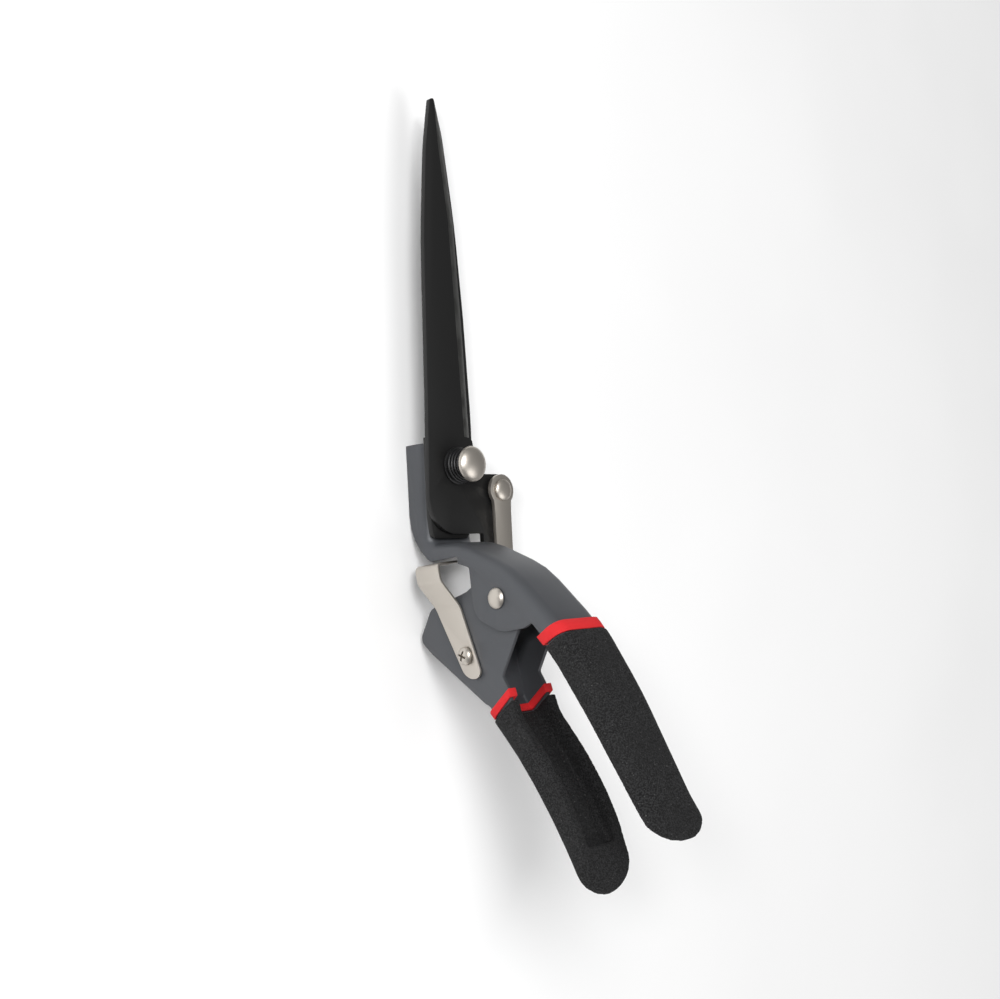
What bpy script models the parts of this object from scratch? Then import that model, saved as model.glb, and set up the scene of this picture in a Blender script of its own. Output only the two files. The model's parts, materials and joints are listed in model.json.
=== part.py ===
"""One-hand grass shears: a pressed-steel frame, a fixed and a moving blade, a lever, a link and a latch.

Everything is drawn about the blade pivot, in millimetres: X across the shears towards the link side,
Y forward along the blades and Z up, off the blades' flat faces. The parent empty then moves the shears
so that the middle of their underside stands on the world origin.
"""
import math

import bmesh
import bpy
from mathutils import Matrix, Vector

MM = 0.001
GAP = 0.3
ARC_STEP = math.radians(14)

# Driving dimensions, in millimetres.
FRAME_WIDTH = 25.0
FRAME_SHEET = 1.5
FRAME_FOLD = 4.6
LEVER_WIDTH = 21.3
LEVER_SHEET = 1.5
BLADE_SHEET = 2.3
WEB_TOP = -2.0 * (BLADE_SHEET + GAP)
LEVER_FOLD = 2.5
UPPER_BAND_LENGTH = 4.6
LOWER_BAND_LENGTH = 3.4
UPPER_NOSE = 15.6
LOWER_NOSE = 14.9
NOSE_ROUND = 13.0
GROOVE_END = 1.0
BAND_SKIN = 1.0
GRIP_SKIN = 1.5
GRIP_LINING = 1.5
UPPER_GRIP_ROUND = 6.4
LOWER_GRIP_ROUND = 3.6

# Shank radii of the rivets, pins and screws.
RIVET_SHANK = 2.0
LEVER_SHANK = 2.75
EAR_SHANK = 2.0
FOOT_SHANK = 2.0
FOOT_SHOULDER = 2.4
SCREW_SHANK = 2.0
SPRING_WIRE = 0.8
SPRING_HALF = 5.6

# The lever turns about a line along X at this (Y, Z), and the link is pinned to it at LINK_FOOT.
LEVER_PIVOT = (-53.5, 31.3)
LINK_FOOT = (-58.6, 4.0)
LATCH_PIVOT = (-75.3, 12.4)
# The link hangs from the moving blade's ear at this (X, Y).
EAR = (22.0, -9.8)

# The frame's outer face, from the head's front along the web, up the neck and down the handle,
# as (Y, Z, corner radius).
FRAME_CROWN = [
    (9.5, WEB_TOP, 0.0),
    (-31.0, WEB_TOP, 2.5),
    (-31.0, 10.0, 30.0),
    (-41.9, 37.6, 44.0),
    (-64.1, 62.1, 60.0),
    (-89.8, 79.1, 150.0),
    (-124.7, 97.5, 0.0),
]
# The frame's free edge, from the handle's end back to the front of the head.
FRAME_HANDLE_EDGE = [
    (-124.6, 94.8, 0.0),
    (-96.1, 76.3, 150.0),
    (-75.3, 61.5, 40.0),
    (-62.9, 48.8, 0.0),
]
FRAME_HEAD_EDGE = [
    (-64.9, 44.5, 4.0),
    (-66.3, 33.0, 12.0),
    (-60.5, 18.6, 9.0),
    (-41.2, 17.0, 1.5),
    (-39.6, 10.8, 0.6),
    (-36.8, 10.8, 0.6),
    (-38.1, -5.0, 2.0),
    (-30.6, -16.2, 22.0),
    (9.3, -16.4, 3.0),
]
# The lever's underside from the band to the grip's end, and its free edge back to the band.
LEVER_KEEL = [
    (-93.8, 20.6, 0.0),
    (-97.2, 23.4, 12.0),
    (-111.8, 37.8, 150.0),
    (-133.8, 53.6, 200.0),
    (-147.8, 61.6, 0.0),
]
LEVER_RIM = [
    (-145.3, 65.4, 0.0),
    (-138.5, 63.4, 30.0),
    (-127.5, 58.4, 80.0),
    (-113.7, 49.2, 80.0),
    (-98.5, 36.4, 14.0),
    (-87.0, 32.8, 0.0),
]
# The lever's two side plates, from the free edge's notch round the pivot to the front of the keel.
LEVER_PLATE = [
    (-82.8, 30.1, 1.5),
    (-64.5, 40.4, 8.0),
    (-44.5, 40.3, 8.9),
    (-44.5, 22.3, 8.9),
    (-50.5, 13.5, 12.0),
    (-57.0, -8.0, 5.0),
    (-69.5, -15.4, 3.5),
    (-75.0, -8.6, 5.0),
]
# The strip of the lever's web that runs on between the side plates, as its middle line.
LEVER_TONGUE = [(-91.5, 21.2), (-70.0, 16.8)]
# The coverings' front faces: a point on each, and the direction from there along the grip.
UPPER_BAND_AT = (Vector((-67.2, 53.0)), Vector((-0.86, 0.51)))
LOWER_BAND_AT = (Vector((-95.4, 24.6)), Vector((-0.735, 0.68)))

# Blade outlines in (X, Y, corner radius), from the heel on the link side round the tip.
FIXED_BLADE = [
    (10.8, -24.0, 3.0),
    (11.4, 20.0, 200.0),
    (10.1, 62.0, 300.0),
    (7.8, 100.0, 300.0),
    (3.2, 138.0, 60.0),
    (-0.4, 151.9, 1.4),
    (-3.4, 151.3, 1.4),
    (-6.8, 130.0, 120.0),
    (-10.3, 92.0, 300.0),
    (-12.4, 17.6, 0.4),
    (-13.1, 17.0, 0.4),
    (-13.3, -20.0, 20.0),
    (-12.2, -29.0, 3.0),
    (6.0, -29.0, 1.0),
]
MOVING_BLADE = [
    (12.4, -3.0, 3.0),
    (9.2, 10.4, 1.0),
    (8.5, 11.4, 0.6),
    (7.2, 60.0, 300.0),
    (5.7, 100.0, 200.0),
    (1.6, 136.0, 60.0),
    (-1.4, 151.0, 1.4),
    (-4.5, 150.8, 1.4),
    (-8.2, 130.0, 120.0),
    (-11.7, 92.0, 300.0),
    (-13.9, 26.0, 200.0),
    (-15.8, -13.0, 1.0),
    (-13.0, -27.4, 13.5),
    (13.0, -27.4, 0.5),
    (13.0, -34.0, 0.8),
    (20.5, -34.0, 0.8),
    (20.5, -17.5, 4.0),
    (29.0, -17.0, 6.9),
    (29.0, -2.9, 6.9),
]
# The ground edges: where they start, how wide and deep they are, and the line that they stay clear of.
GRIND_START = 12.0
GRIND_STEP = 0.1
MOVING_GRIND = (3.5, 1.0, -3.0)
FIXED_GRIND = (2.2, 1.6, -2.0)
RIVET_PLACES = [(-4.0, -19.0), (4.0, -19.0)]

# The pivot stack, by height.
BOLT_RADIUS = 3.0
DOME_RADIUS = 7.2
DOME_UNDERSIDE = 8.0
WASHER_THICK = 0.8
PIVOT_SPRING_WIRE = 0.55
PIVOT_SPRING_TURNS = 4.5

# The link strap.
LINK_WIDTH = 9.2
LINK_THICK = 1.8
LINK_LEVEL = 2.2
LINK_SIDE = 13.9
LINK_TWIST = (-37.0, -50.0)
EYE_CLEARANCE = 1.1

# The latch strap: its profile runs up the lever's side plate, out over the neck's edge and back in.
LATCH_WIDTH = 13.4
LATCH_FOOT_WIDTH = 9.0
LATCH_OFFSET = 0.9
LATCH_THICK = 1.0
LATCH_LEAN = Vector((0.914, -0.405))
# The latch's folds run along this (Y, Z) direction, square to the neck's edge and not to the strap.
LATCH_FOLD = Vector((-0.09, -0.996))
LATCH_FACE = LEVER_WIDTH / 2.0 + GAP + LATCH_THICK / 2.0

collection = None
cutters = None
stand = None


def clear_scene():
    """Remove every object that the scene starts with."""
    for item in list(bpy.data.objects):
        bpy.data.objects.remove(item, do_unlink=True)


def new_collection(name):
    """Make a collection in the scene."""
    made = bpy.data.collections.new(name)
    bpy.context.scene.collection.children.link(made)
    return made


def material(name, color, roughness, metallic):
    """Make a Principled material."""
    made = bpy.data.materials.new(name)
    made.use_nodes = True
    shader = made.node_tree.nodes["Principled BSDF"]
    shader.inputs["Base Color"].default_value = (*color, 1.0)
    shader.inputs["Roughness"].default_value = roughness
    shader.inputs["Metallic"].default_value = metallic
    made.diffuse_color = (*color, 1.0)
    return made


# Outlines: lists of 2D points.

def rounded(corners, closed=False):
    """Turn (u, v, radius) corners into points, with an arc at each corner that has a radius."""
    points = []
    count = len(corners)
    for index, (u, v, radius) in enumerate(corners):
        here = Vector((u, v))
        end = not closed and index in (0, count - 1)
        if radius <= 0.0 or end:
            points.append(here)
            continue
        back = (Vector(corners[index - 1][:2]) - here).normalized()
        ahead = (Vector(corners[(index + 1) % count][:2]) - here).normalized()
        half = back.angle(ahead) / 2.0
        centre = here + (back + ahead).normalized() * (radius / math.sin(half))
        start = here + back * (radius / math.tan(half)) - centre
        sweep = math.pi - 2.0 * half
        turn = sweep if back.x * ahead.y - back.y * ahead.x < 0.0 else -sweep
        steps = max(2, math.ceil(sweep / ARC_STEP))
        for step in range(steps + 1):
            points.append(centre + Matrix.Rotation(turn * step / steps, 2) @ start)
    return points


def offset(points, distance):
    """Move an open line sideways, to the left of its direction when the distance is positive."""
    moved = []
    last = len(points) - 1
    for index, point in enumerate(points):
        before = (point - points[index - 1]).normalized() if index > 0 else None
        after = (points[index + 1] - point).normalized() if index < last else None
        before = before or after
        after = after or before
        left = Vector((-before.y - after.y, before.x + after.x)).normalized()
        stretch = 1.0 / max(0.3, left.dot(Vector((-before.y, before.x))))
        moved.append(point + left * distance * stretch)
    return moved


def extended(points, start=0.0, end=0.0):
    """Carry an open line on, straight, past its two ends."""
    line = list(points)
    first = (line[0] - line[1]).normalized()
    last = (line[-1] - line[-2]).normalized()
    line[0] = line[0] + first * start
    line[-1] = line[-1] + last * end
    return line


def circle(centre, radius, sides=24):
    """Points round a circle."""
    angles = [2.0 * math.pi * side / sides for side in range(sides)]
    return [Vector((centre[0] + radius * math.cos(a), centre[1] + radius * math.sin(a))) for a in angles]


# Solids.

def keep(item, where, shade=None):
    """Move a new object into a collection, under the stand, with its material."""
    for old in list(item.users_collection):
        old.objects.unlink(item)
    where.objects.link(item)
    item.parent = stand
    if shade:
        item.data.materials.clear()
        item.data.materials.append(shade)
    if where is cutters:
        item.hide_render = True
        item.display_type = "WIRE"
    return item


def curve_to_mesh(item):
    """Replace a curve object by its mesh, with its caps welded on."""
    bpy.context.view_layer.update()
    graph = bpy.context.evaluated_depsgraph_get()
    mesh = bpy.data.meshes.new_from_object(item.evaluated_get(graph))
    made = bpy.data.objects.new(item.name + "_mesh", mesh)
    bpy.context.scene.collection.objects.link(made)
    made.matrix_world = item.matrix_world.copy()
    name = item.name
    bpy.data.objects.remove(item, do_unlink=True)
    made.name = name
    edit = bmesh.new()
    edit.from_mesh(mesh)
    bmesh.ops.remove_doubles(edit, verts=edit.verts, dist=1e-7)
    flat = [edge for edge in edit.edges if edge.is_manifold and edge.calc_face_angle(1.0) < 1e-4]
    bmesh.ops.dissolve_edges(edit, edges=flat, use_verts=False)
    bmesh.ops.recalc_face_normals(edit, faces=edit.faces)
    edit.to_mesh(mesh)
    edit.free()
    return made


def slab(name, outlines, low, high, sideways):
    """Extrude flat outlines: between two Z levels, or sideways between two X levels."""
    data = bpy.data.curves.new(name, "CURVE")
    data.dimensions = "2D"
    data.fill_mode = "BOTH"
    data.extrude = (high - low) / 2.0 * MM
    for outline in outlines:
        spline = data.splines.new("POLY")
        spline.points.add(len(outline) - 1)
        for target, point in zip(spline.points, outline):
            target.co = (point[0] * MM, point[1] * MM, 0.0, 1.0)
        spline.use_cyclic_u = True
    item = bpy.data.objects.new(name, data)
    bpy.context.scene.collection.objects.link(item)
    middle = (high + low) / 2.0 * MM
    if sideways:
        item.rotation_euler = (math.pi / 2.0, 0.0, math.pi / 2.0)
        item.location = (middle, 0.0, 0.0)
    else:
        item.location = (0.0, 0.0, middle)
    made = curve_to_mesh(item)
    made.data.transform(made.matrix_world)
    made.matrix_world = Matrix.Identity(4)
    return made


def side_slab(name, outline, half_width):
    """Extrude a (Y, Z) outline across the shears, evenly about the middle plane."""
    return slab(name, [outline], -half_width, half_width, True)


def flat_slab(name, outlines, low, high):
    """Extrude (X, Y) outlines between two heights."""
    return slab(name, outlines, low, high, False)


def near_line(point, line, reach):
    """Say whether a (Y, Z) point lies on a line of points."""
    for here, there in zip(line, line[1:]):
        along = there - here
        share = max(0.0, min(1.0, (point - here).dot(along) / along.length_squared))
        if (here + along * share - point).length < reach:
            return True
    return False


def round_folds(item, line, half_width, radius, steps=4):
    """Round the two long edges of a side slab that follow a (Y, Z) line."""
    edit = bmesh.new()
    edit.from_mesh(item.data)
    folds = []
    for edge in edit.edges:
        ends = [vert.co / MM for vert in edge.verts]
        if all(abs(abs(end.x) - half_width) < 0.01 for end in ends) and ends[0].x * ends[1].x > 0.0:
            middle = (ends[0] + ends[1]) / 2.0
            if near_line(Vector((middle.y, middle.z)), line, 0.02):
                folds.append(edge)
    bmesh.ops.bevel(edit, geom=folds, offset=radius * MM, segments=steps, profile=0.5,
                    affect="EDGES", clamp_overlap=False)
    bmesh.ops.recalc_face_normals(edit, faces=edit.faces)
    edit.to_mesh(item.data)
    edit.free()


def round_corners(item, test, radius, steps=5):
    """Round the edges that a test picks by their two ends, in millimetres."""
    edit = bmesh.new()
    edit.from_mesh(item.data)
    chosen = [edge for edge in edit.edges if test(edge.verts[0].co / MM, edge.verts[1].co / MM)]
    bmesh.ops.bevel(edit, geom=chosen, offset=radius * MM, segments=steps, profile=0.5,
                    affect="EDGES", clamp_overlap=False)
    bmesh.ops.recalc_face_normals(edit, faces=edit.faces)
    edit.to_mesh(item.data)
    edit.free()


def cut(item, cutter):
    """Cut one object out of another with a live Boolean."""
    keep(cutter, cutters)
    change = item.modifiers.new("cut " + cutter.name, "BOOLEAN")
    change.operation = "DIFFERENCE"
    change.object = cutter
    change.solver = "EXACT"


def rod(name, axis, start, end, at, radius, sides=24):
    """A plain cylinder along X or Z, between two levels, at the other two coordinates."""
    item = flat_slab(name, [circle((0.0, 0.0), radius, sides)], start, end)
    if axis == "X":
        item.data.transform(Matrix.Rotation(math.pi / 2.0, 4, "Y"))
        item.data.transform(Matrix.Translation(Vector((0.0, at[0], at[1])) * MM))
    else:
        item.data.transform(Matrix.Translation(Vector((at[0], at[1], 0.0)) * MM))
    return item


def turned(name, profile, axis, at, sides=32):
    """Spin an (along, radius) profile about a line along X or Z; ends on the line are welded shut."""
    mesh = bpy.data.meshes.new(name)
    edit = bmesh.new()
    verts = [edit.verts.new((radius * MM, 0.0, along * MM)) for along, radius in profile]
    for here, there in zip(verts, verts[1:]):
        edit.edges.new((here, there))
    if profile[0] != profile[-1] and profile[0][1] > 0.0:
        edit.edges.new((verts[-1], verts[0]))
    bmesh.ops.spin(edit, geom=edit.verts[:] + edit.edges[:], cent=(0.0, 0.0, 0.0), axis=(0.0, 0.0, 1.0),
                   angle=2.0 * math.pi, steps=sides, use_merge=True)
    bmesh.ops.remove_doubles(edit, verts=edit.verts, dist=1e-7)
    bmesh.ops.recalc_face_normals(edit, faces=edit.faces)
    edit.to_mesh(mesh)
    edit.free()
    mesh.shade_smooth()
    mesh.set_sharp_from_angle(angle=math.radians(35))
    if axis == "X":
        mesh.transform(Matrix.Rotation(math.pi / 2.0, 4, "Y"))
        mesh.transform(Matrix.Translation(Vector((0.0, at[0], at[1])) * MM))
    else:
        mesh.transform(Matrix.Translation(Vector((at[0], at[1], 0.0)) * MM))
    item = bpy.data.objects.new(name, mesh)
    bpy.context.scene.collection.objects.link(item)
    return item


def wire(name, points, radius):
    """A round wire through 3D points, with closed ends."""
    data = bpy.data.curves.new(name, "CURVE")
    data.dimensions = "3D"
    data.bevel_depth = radius * MM
    data.bevel_resolution = 2
    data.use_fill_caps = True
    spline = data.splines.new("POLY")
    spline.points.add(len(points) - 1)
    for target, point in zip(spline.points, points):
        target.co = (*(Vector(point) * MM), 1.0)
    item = bpy.data.objects.new(name, data)
    bpy.context.scene.collection.objects.link(item)
    made = curve_to_mesh(item)
    return made


# The channel handles and what is dipped over them.

class Handle:
    """A channel handle: a folded line out to its end and a free edge back, in (Y, Z)."""

    def __init__(self, name, fold_line, free_line, width, sheet, fold_radius, side, front):
        self.name = name
        self.fold_line = rounded(fold_line)
        self.free_line = rounded(free_line)
        self.half = width / 2.0
        self.sheet = sheet
        self.fold_radius = fold_radius
        self.side = side
        self.point = front[0]
        self.direction = front[1].normalized()

    def front(self, distance):
        """The face across the handle at a distance behind the front of its coverings."""
        return self.point + self.direction * distance, self.direction

    def shell(self, distance, depth, end):
        """The handle's two side lines behind a front face, moved in by a depth."""
        fold = clipped(self.fold_line, *self.front(distance))
        free = clipped(self.free_line, *self.front(distance))
        fold = extended(offset(fold, depth * self.side), 0.0, end)
        free = extended(offset(free, depth * self.side), end, 0.0)
        return fold, free

    def trough(self, name, depth, end, half):
        """A cutter for the handle's open inside, from under the folded line out past the free edge."""
        fold, _ = self.shell(-4.0, depth, end)
        away = Vector((-self.direction.y, self.direction.x)) * (40.0 * self.side)
        return side_slab(name, fold + [fold[-1] + away, fold[0] + away], half)

    def slot(self, name):
        """A cutter that holds the channel's metal with a gap all round."""
        fold, free = self.shell(-4.0, -GAP, GAP)
        metal = side_slab(name, fold + free, self.half + GAP)
        round_folds(metal, fold, self.half + GAP, self.fold_radius + GAP)
        core = self.trough(name + "_core", self.sheet + GAP, 5.0, self.half - self.sheet - GAP)
        inner_fold, _ = self.shell(-4.0, self.sheet + GAP, 5.0)
        if self.fold_radius > self.sheet + GAP:
            round_folds(core, inner_fold, self.half - self.sheet - GAP, self.fold_radius - self.sheet - GAP)
        cut(metal, core)
        return metal

    def groove(self, name, lining, end):
        """A cutter for the open inside of the covered channel."""
        return self.trough(name, self.sheet + lining, end, self.half - self.sheet - lining)


def clipped(line, point, direction):
    """Keep the part of a line that lies past a point, along a direction."""
    kept = []
    for here, there in zip(line, line[1:]):
        before = (here - point).dot(direction)
        after = (there - point).dot(direction)
        if before >= 0.0:
            kept.append(here)
        if before * after < 0.0:
            kept.append(here.lerp(there, before / (before - after)))
    if (line[-1] - point).dot(direction) >= 0.0:
        kept.append(line[-1])
    return kept


def make_frame(handle, paint):
    """The pressed-steel channel: the head under the blades, the neck and the upper handle."""
    crown = handle.fold_line
    outline = crown + handle.free_line + rounded([FRAME_HANDLE_EDGE[-1]] + FRAME_HEAD_EDGE)[1:]
    frame = side_slab("frame", outline, handle.half)
    round_folds(frame, crown, handle.half, FRAME_FOLD)
    inner = extended(offset(crown, FRAME_SHEET), 6.0, 8.0)
    below = [Vector(corner) for corner in ((-152.0, 84.0), (-84.0, 26.0), (-60.0, -27.0), (15.5, -27.0))]
    hollow = side_slab("frame_hollow", inner + below, handle.half - FRAME_SHEET)
    round_folds(hollow, inner, handle.half - FRAME_SHEET, FRAME_FOLD - FRAME_SHEET)
    cut(frame, hollow)
    cut(frame, rod("frame_bolt_hole", "Z", -9.0, -3.0, (0.0, 0.0), BOLT_RADIUS + GAP))
    for index, place in enumerate(RIVET_PLACES):
        cut(frame, rod(f"frame_rivet_hole_{index + 1}", "Z", -9.0, -3.0, place, RIVET_SHANK + GAP, 16))
    cut(frame, rod("frame_lever_hole", "X", -20.0, 20.0, LEVER_PIVOT, LEVER_SHANK + GAP))
    return keep(frame, collection, paint)


def make_lever(handle, paint):
    """The lever: two side plates on the pivot, joined by the web under the grip and its tongue."""
    plate = rounded([LEVER_RIM[-1]] + LEVER_PLATE + [LEVER_KEEL[0]])[1:-1]
    outline = handle.fold_line + handle.free_line + plate
    lever = side_slab("lever", outline, handle.half)
    round_folds(lever, handle.fold_line, handle.half, LEVER_FOLD)
    inner = extended(offset(handle.fold_line, LEVER_SHEET * handle.side), 0.0, 8.0)
    root, tip = (Vector(end) for end in LEVER_TONGUE)
    across = Vector((root.y - tip.y, tip.x - root.x)).normalized() * (LEVER_SHEET / 2.0)
    tongue = [root - across, tip - across, tip + across, root + across]
    if (tongue[0] - inner[0]).length > (tongue[-1] - inner[0]).length:
        tongue.reverse()
    around = [Vector(corner) for corner in ((-97.0, 14.0), (-84.0, -28.0), (-45.0, -28.0), (-30.0, 30.0),
                                            (-45.0, 60.0), (-160.0, 110.0), (-172.0, 84.0))]
    hollow = side_slab("lever_hollow", list(reversed(inner)) + tongue + around, handle.half - LEVER_SHEET)
    round_folds(hollow, inner, handle.half - LEVER_SHEET, LEVER_FOLD - LEVER_SHEET, 3)
    cut(lever, hollow)
    cut(lever, rod("lever_pivot_hole", "X", -20.0, 20.0, LEVER_PIVOT, LEVER_SHANK + GAP))
    cut(lever, rod("lever_link_hole", "X", 5.0, 20.0, LINK_FOOT, FOOT_SHANK + GAP))
    cut(lever, rod("lever_latch_hole", "X", -20.0, -5.0, LATCH_PIVOT, SCREW_SHANK + GAP))
    return keep(lever, collection, paint)


def make_band(handle, length, shade):
    """The strip of bare red coat in front of a grip."""
    name = handle.name + "_grip_band"
    half = handle.half + GAP + BAND_SKIN
    fold, free = handle.shell(0.0, -GAP - BAND_SKIN, 0.0)
    point, direction = handle.front(length)
    fold = clipped(fold, point, -direction)
    free = clipped(free, point, -direction)
    band = side_slab(name, fold + free, half)
    round_folds(band, fold, half, handle.fold_radius + BAND_SKIN)
    cut(band, handle.groove(name + "_groove", GRIP_LINING, 0.0))
    cut(band, handle.slot(name + "_slot"))
    return keep(band, collection, shade)


def make_grip(handle, length, radius, nose, shade):
    """The dipped foam over a handle: it lines the channel and closes over its end in a round tongue."""
    name = handle.name + "_grip"
    half = handle.half + GAP + GRIP_SKIN
    fold, free = handle.shell(length + GAP, -GAP - GRIP_SKIN, 0.0)
    along = (fold[-1] - fold[-2]).normalized()
    tip = fold[-1] + along * nose
    depth = free[0] - fold[-1]
    low = tip + depth * 0.78 - along * 2.0
    start = tip + depth * 0.25
    swept = []
    steps = 6
    for step in range(steps):
        share = step / steps
        swept.append(start.lerp(low, share).lerp(low.lerp(free[0], share), share))
    grip = side_slab(name, fold + [tip] + swept + free, half)
    round_folds(grip, fold + [tip], half, radius, 5)
    reach = half + 0.5
    plan = [Vector((-reach - 4.0, -NOSE_ROUND))]
    sides = 12
    for side in range(sides + 1):
        angle = math.pi * (1.0 - side / sides)
        plan.append(Vector((reach * math.cos(angle), NOSE_ROUND * (math.sin(angle) - 1.0))))
    plan += [Vector((reach + 4.0, -NOSE_ROUND)), Vector((reach + 4.0, 8.0)), Vector((-reach - 4.0, 8.0))]
    nose_cut = flat_slab(name + "_nose", [plan], -30.0, 30.0)
    nose_cut.data.transform(Matrix((
        (1.0, 0.0, 0.0, 0.0),
        (0.0, along.x, -along.y, tip.x * MM),
        (0.0, along.y, along.x, tip.y * MM),
        (0.0, 0.0, 0.0, 1.0),
    )))
    cut(grip, nose_cut)
    cut(grip, handle.groove(name + "_groove", GRIP_LINING, -GROOVE_END))
    cut(grip, handle.slot(name + "_slot"))
    return keep(grip, collection, shade)


# Blades and their pivot.

def grind(blade, face, back, sign, grinding):
    """Grind a blade's long edge on one face: sign is the edge's side in X, face and back are Z levels."""
    width, depth, middle = grinding
    inward = 1.0 if back > face else -1.0
    edit = bmesh.new()
    edit.from_mesh(blade.data)
    cuts = [((0.0, GRIND_START - 0.5, 0.0), (0.0, 1.0, 0.0)), ((0.0, GRIND_START, 0.0), (0.0, 1.0, 0.0)),
            ((0.0, 0.0, face + inward * depth), (0.0, 0.0, 1.0))]
    for spot, normal in cuts:
        bmesh.ops.bisect_plane(edit, geom=edit.verts[:] + edit.edges[:] + edit.faces[:], dist=1e-7,
                               plane_co=Vector(spot) * MM, plane_no=normal)
    for vert in edit.verts:
        if abs(vert.co.z / MM - face) > 0.01 or vert.co.y / MM < GRIND_START - 0.01:
            continue
        vert.co.z += inward * GRIND_STEP * MM
        past = (vert.co.x / MM - middle) * sign
        if past > 0.0:
            vert.co.x -= sign * min(width, 0.7 * past) * MM
    bmesh.ops.recalc_face_normals(edit, faces=edit.faces)
    edit.to_mesh(blade.data)
    edit.free()


def make_fixed_blade(coat):
    """The lower blade, riveted to the head."""
    top = WEB_TOP + GAP + BLADE_SHEET
    blade = flat_slab("fixed_blade", [rounded(FIXED_BLADE, closed=True)], WEB_TOP + GAP, top)
    grind(blade, WEB_TOP + GAP, top, -1.0, FIXED_GRIND)
    cut(blade, rod("fixed_blade_bolt_hole", "Z", -9.0, 2.0, (0.0, 0.0), BOLT_RADIUS + GAP))
    for index, place in enumerate(RIVET_PLACES):
        cut(blade, rod(f"fixed_blade_rivet_hole_{index + 1}", "Z", -9.0, 2.0, place, RIVET_SHANK + GAP, 16))
    return keep(blade, collection, coat)


def make_moving_blade(coat):
    """The upper blade, with the link's ear and the stop leg beside the neck."""
    blade = flat_slab("moving_blade", [rounded(MOVING_BLADE, closed=True)], -BLADE_SHEET, 0.0)
    grind(blade, 0.0, -BLADE_SHEET, 1.0, MOVING_GRIND)
    cut(blade, rod("moving_blade_bolt_hole", "Z", -9.0, 2.0, (0.0, 0.0), BOLT_RADIUS + GAP))
    cut(blade, rod("moving_blade_ear_hole", "Z", -9.0, 2.0, EAR, EAR_SHANK + GAP))
    return keep(blade, collection, coat)


def make_pivot(metal, black):
    """The domed bolt through both blades, its spring, washers and nut."""
    rim = DOME_UNDERSIDE + 0.6
    rise = 3.4
    dome = []
    for step in range(7):
        angle = math.pi / 2.0 * step / 6.0
        dome.append((rim + rise * math.sin(angle), DOME_RADIUS * math.cos(angle)))
    dome[-1] = (rim + rise, 0.0)
    profile = [(-14.6, 0.0), (-14.6, BOLT_RADIUS - 0.5), (-14.1, BOLT_RADIUS), (DOME_UNDERSIDE, BOLT_RADIUS),
               (DOME_UNDERSIDE, DOME_RADIUS)] + dome
    keep(turned("pivot_bolt", profile, "Z", (0.0, 0.0)), collection, metal)
    keep(ring("pivot_washer", "Z", GAP, GAP + WASHER_THICK, (0.0, 0.0), BOLT_RADIUS + GAP, 7.6),
         collection, metal)
    web_bottom = WEB_TOP - FRAME_SHEET
    washer_top = web_bottom - GAP
    keep(ring("pivot_nut_washer", "Z", washer_top - 1.0, washer_top, (0.0, 0.0), BOLT_RADIUS + GAP, 6.2),
         collection, metal)
    nut_top = washer_top - 1.0 - GAP
    keep(nut("pivot_nut", "Z", nut_top - 4.8, nut_top, (0.0, 0.0), BOLT_RADIUS + GAP, 5.77),
         collection, metal)
    points = []
    low = GAP + WASHER_THICK + GAP + PIVOT_SPRING_WIRE
    high = DOME_UNDERSIDE - GAP - PIVOT_SPRING_WIRE
    steps = round(PIVOT_SPRING_TURNS * 18)
    for step in range(steps + 1):
        share = step / steps
        angle = 2.0 * math.pi * PIVOT_SPRING_TURNS * share
        radius = 7.2 - 2.2 * share
        points.append((radius * math.cos(angle), radius * math.sin(angle), low + (high - low) * share))
    keep(wire("pivot_spring", points, PIVOT_SPRING_WIRE), collection, black)
    for index, place in enumerate(RIVET_PLACES):
        top = WEB_TOP + GAP + BLADE_SHEET - 0.1
        profile = [(top, 0.0), (top, RIVET_SHANK), (web_bottom - GAP, RIVET_SHANK), (web_bottom - GAP, 3.4),
                   (web_bottom - GAP - 1.0, 2.9), (web_bottom - GAP - 1.5, 1.6),
                   (web_bottom - GAP - 1.6, 0.0)]
        keep(turned(f"blade_rivet_{index + 1}", profile, "Z", place, 20), collection, metal)


def ring(name, axis, start, end, at, inner, outer, sides=28):
    """A flat washer or a plain bush."""
    return turned(name, [(start, inner), (end, inner), (end, outer), (start, outer)], axis, at, sides)


def nut(name, axis, start, end, at, bore, across):
    """A hexagon nut, across its corners, with a plain bore."""
    item = flat_slab(name, [circle((0.0, 0.0), across, 6), circle((0.0, 0.0), bore, 24)], start, end)
    if axis == "X":
        item.data.transform(Matrix.Rotation(math.pi / 2.0, 4, "Y"))
        item.data.transform(Matrix.Translation(Vector((0.0, at[0], at[1])) * MM))
    else:
        item.data.transform(Matrix.Translation(Vector((at[0], at[1], 0.0)) * MM))
    return item


# The link between the lever and the moving blade.

def smooth(share):
    """Ease from 0 to 1."""
    share = max(0.0, min(1.0, share))
    return share * share * (3.0 - 2.0 * share)


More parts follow.
